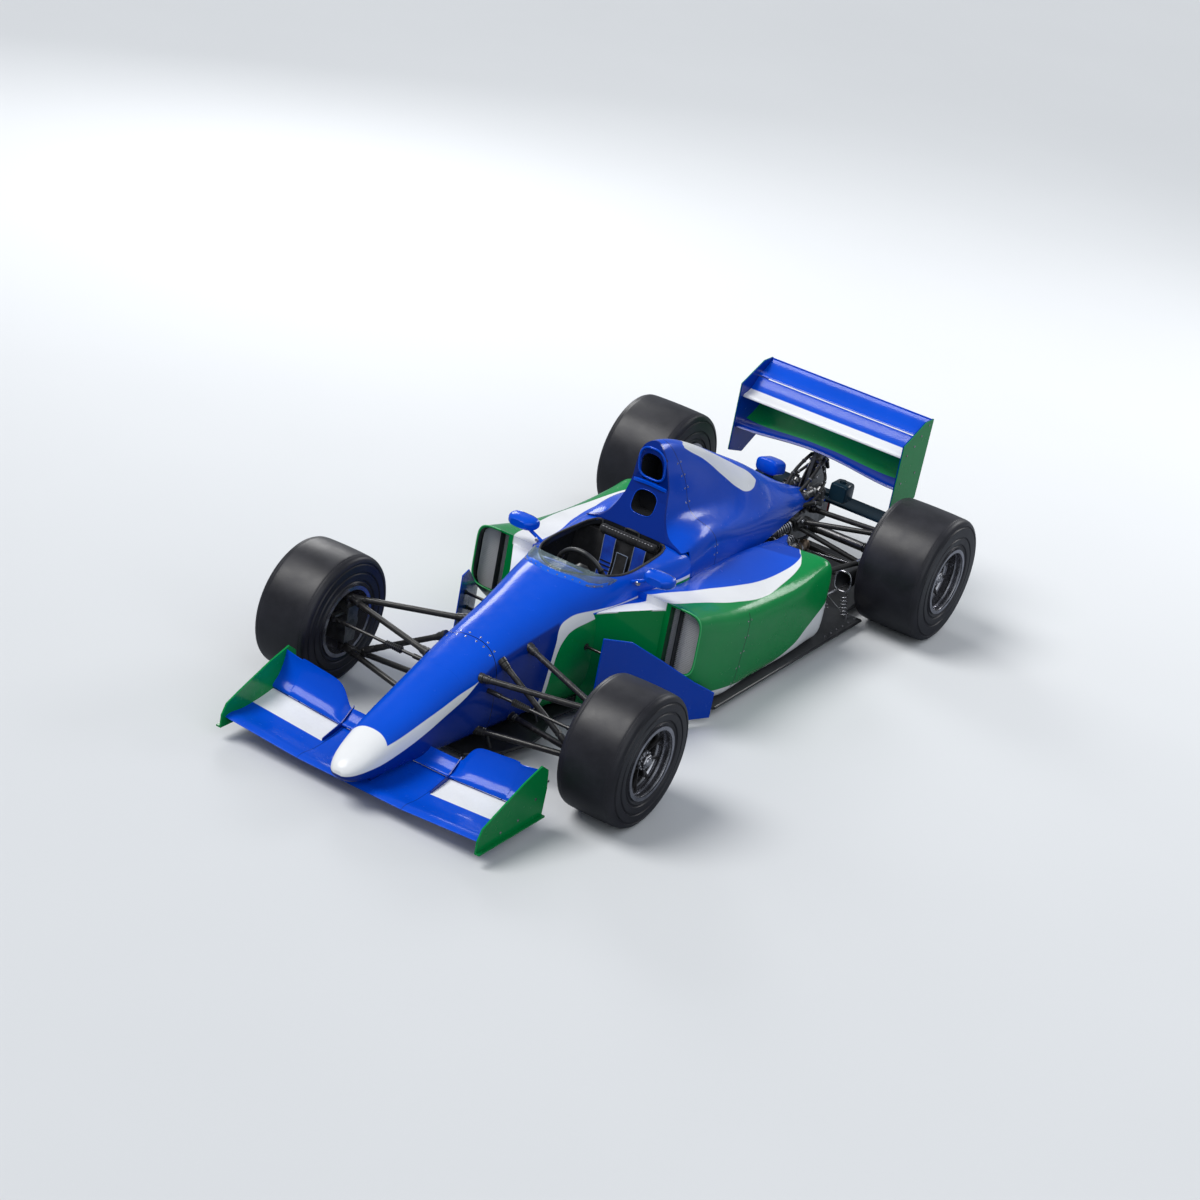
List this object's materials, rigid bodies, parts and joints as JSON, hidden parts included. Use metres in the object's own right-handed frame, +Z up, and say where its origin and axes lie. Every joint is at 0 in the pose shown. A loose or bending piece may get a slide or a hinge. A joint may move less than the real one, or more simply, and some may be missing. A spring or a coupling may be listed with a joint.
{
  "type": "open wheel single seat racing car",
  "caption": "Open wheel single seat racing car with slick tyres, steered front wheels, front and rear wings, hollow cockpit, sidepod ducts and an air intake over the seat.",
  "frame": {"origin": "on the ground, under the middle of the car's length and width", "axes": "+Z up, the car faces -Y, +X to the car's left"},
  "size_m": [1.998, 4.35, 1.1562],
  "materials": {
    "blue_paint": "gloss paint over carbon",
    "green_paint": "gloss paint over carbon",
    "carbon": "bare composite",
    "clear_screen": "clear moulded screen",
    "radiator_core": "finned core",
    "seat_shell": "moulded foam seat with a cloth cover",
    "belt_webbing": "woven webbing",
    "pad_cover": "padded cover",
    "satin_black": "satin black tube",
    "cast_metal": "cast and machined",
    "exhaust_steel": "heat tinted thin tube",
    "lamp": "lamp lens",
    "wheel_grip": "soft grip",
    "tyre_rubber": "smooth slick rubber",
    "rim_metal": "cast rim",
    "hub_metal": "machined steel"
  },
  "bodies": {
    "chassis": {"monocoque": "blue_paint", "nose_cone": "blue_paint", "floor": "carbon", "diffuser": "carbon", "front_wing_main_plane": "blue_paint", "front_wing_flaps": "blue_paint", "front_wing_endplates": "green_paint", "windscreen": "clear_screen", "mirrors": "blue_paint", "engine_cover": "blue_paint", "sidepod_left": "green_paint", "sidepod_right": "green_paint", "radiators": "radiator_core", "bargeboards": "blue_paint", "seat": "seat_shell", "belts": "belt_webbing", "headrest": "pad_cover", "wishbones": "satin_black", "pushrods": "satin_black", "engine_block": "cast_metal", "gearbox": "cast_metal", "rear_uprights": "cast_metal", "exhausts": "exhaust_steel", "rear_wing_lower_plane": "green_paint", "rear_wing_upper_planes": "blue_paint", "rear_wing_endplates": "green_paint", "rear_wing_pylon": "carbon", "crash_structure": "carbon", "rain_light": "lamp"},
    "steering_rack": {"steering_rack": "satin_black"},
    "steering_wheel": {"steering_wheel": "wheel_grip"},
    "knuckle_left": {"front_upright_left": "cast_metal"},
    "knuckle_right": {"front_upright_right": "cast_metal"},
    "wheel_front_left": {"tyre_front_left": "tyre_rubber", "rim_front_left": "rim_metal", "hub_front_left": "hub_metal"},
    "wheel_front_right": {"tyre_front_right": "tyre_rubber", "rim_front_right": "rim_metal", "hub_front_right": "hub_metal"},
    "wheel_rear_left": {"tyre_rear_left": "tyre_rubber", "rim_rear_left": "rim_metal", "hub_rear_left": "hub_metal"},
    "wheel_rear_right": {"tyre_rear_right": "tyre_rubber", "rim_rear_right": "rim_metal", "hub_rear_right": "hub_metal"}
  },
  "joints": [
    {"name": "steer_left", "type": "hinge", "parent": "chassis", "child": "knuckle_left", "pos_m": [0.7, -1.24, 0.321], "axis": [0, 0, 1], "range_deg": [-17, 17]},
    {"name": "steer_right", "type": "hinge", "parent": "chassis", "child": "knuckle_right", "pos_m": [-0.7, -1.24, 0.321], "axis": [0, 0, 1], "range_deg": [-17, 17]},
    {"name": "rack_slide", "type": "slide", "parent": "chassis", "child": "steering_rack", "axis": [1, 0, 0], "range_m": [-0.03, 0.03]},
    {"name": "wheel_turn", "type": "hinge", "parent": "chassis", "child": "steering_wheel", "pos_m": [0, -0.39028, 0.5991], "axis": [0, -0.9613, -0.2756], "range_deg": [-205, 205]},
    {"name": "spin_front_left", "type": "hinge", "parent": "knuckle_left", "child": "wheel_front_left", "pos_m": [0.845, -1.24, 0.321], "axis": [1, 0, 0], "continuous": true},
    {"name": "spin_front_right", "type": "hinge", "parent": "knuckle_right", "child": "wheel_front_right", "pos_m": [-0.845, -1.24, 0.321], "axis": [1, 0, 0], "continuous": true},
    {"name": "spin_rear_left", "type": "hinge", "parent": "chassis", "child": "wheel_rear_left", "pos_m": [0.803, 1.67, 0.337], "axis": [1, 0, 0], "continuous": true},
    {"name": "spin_rear_right", "type": "hinge", "parent": "chassis", "child": "wheel_rear_right", "pos_m": [-0.803, 1.67, 0.337], "axis": [1, 0, 0], "continuous": true}
  ],
  "couplings": [
    {"joint": "steer_right", "follows": "steer_left", "ratio": 1},
    {"joint": "rack_slide", "follows": "steer_left", "m_per_rad": 0.1},
    {"joint": "wheel_turn", "follows": "steer_left", "ratio": -12}
  ]
}
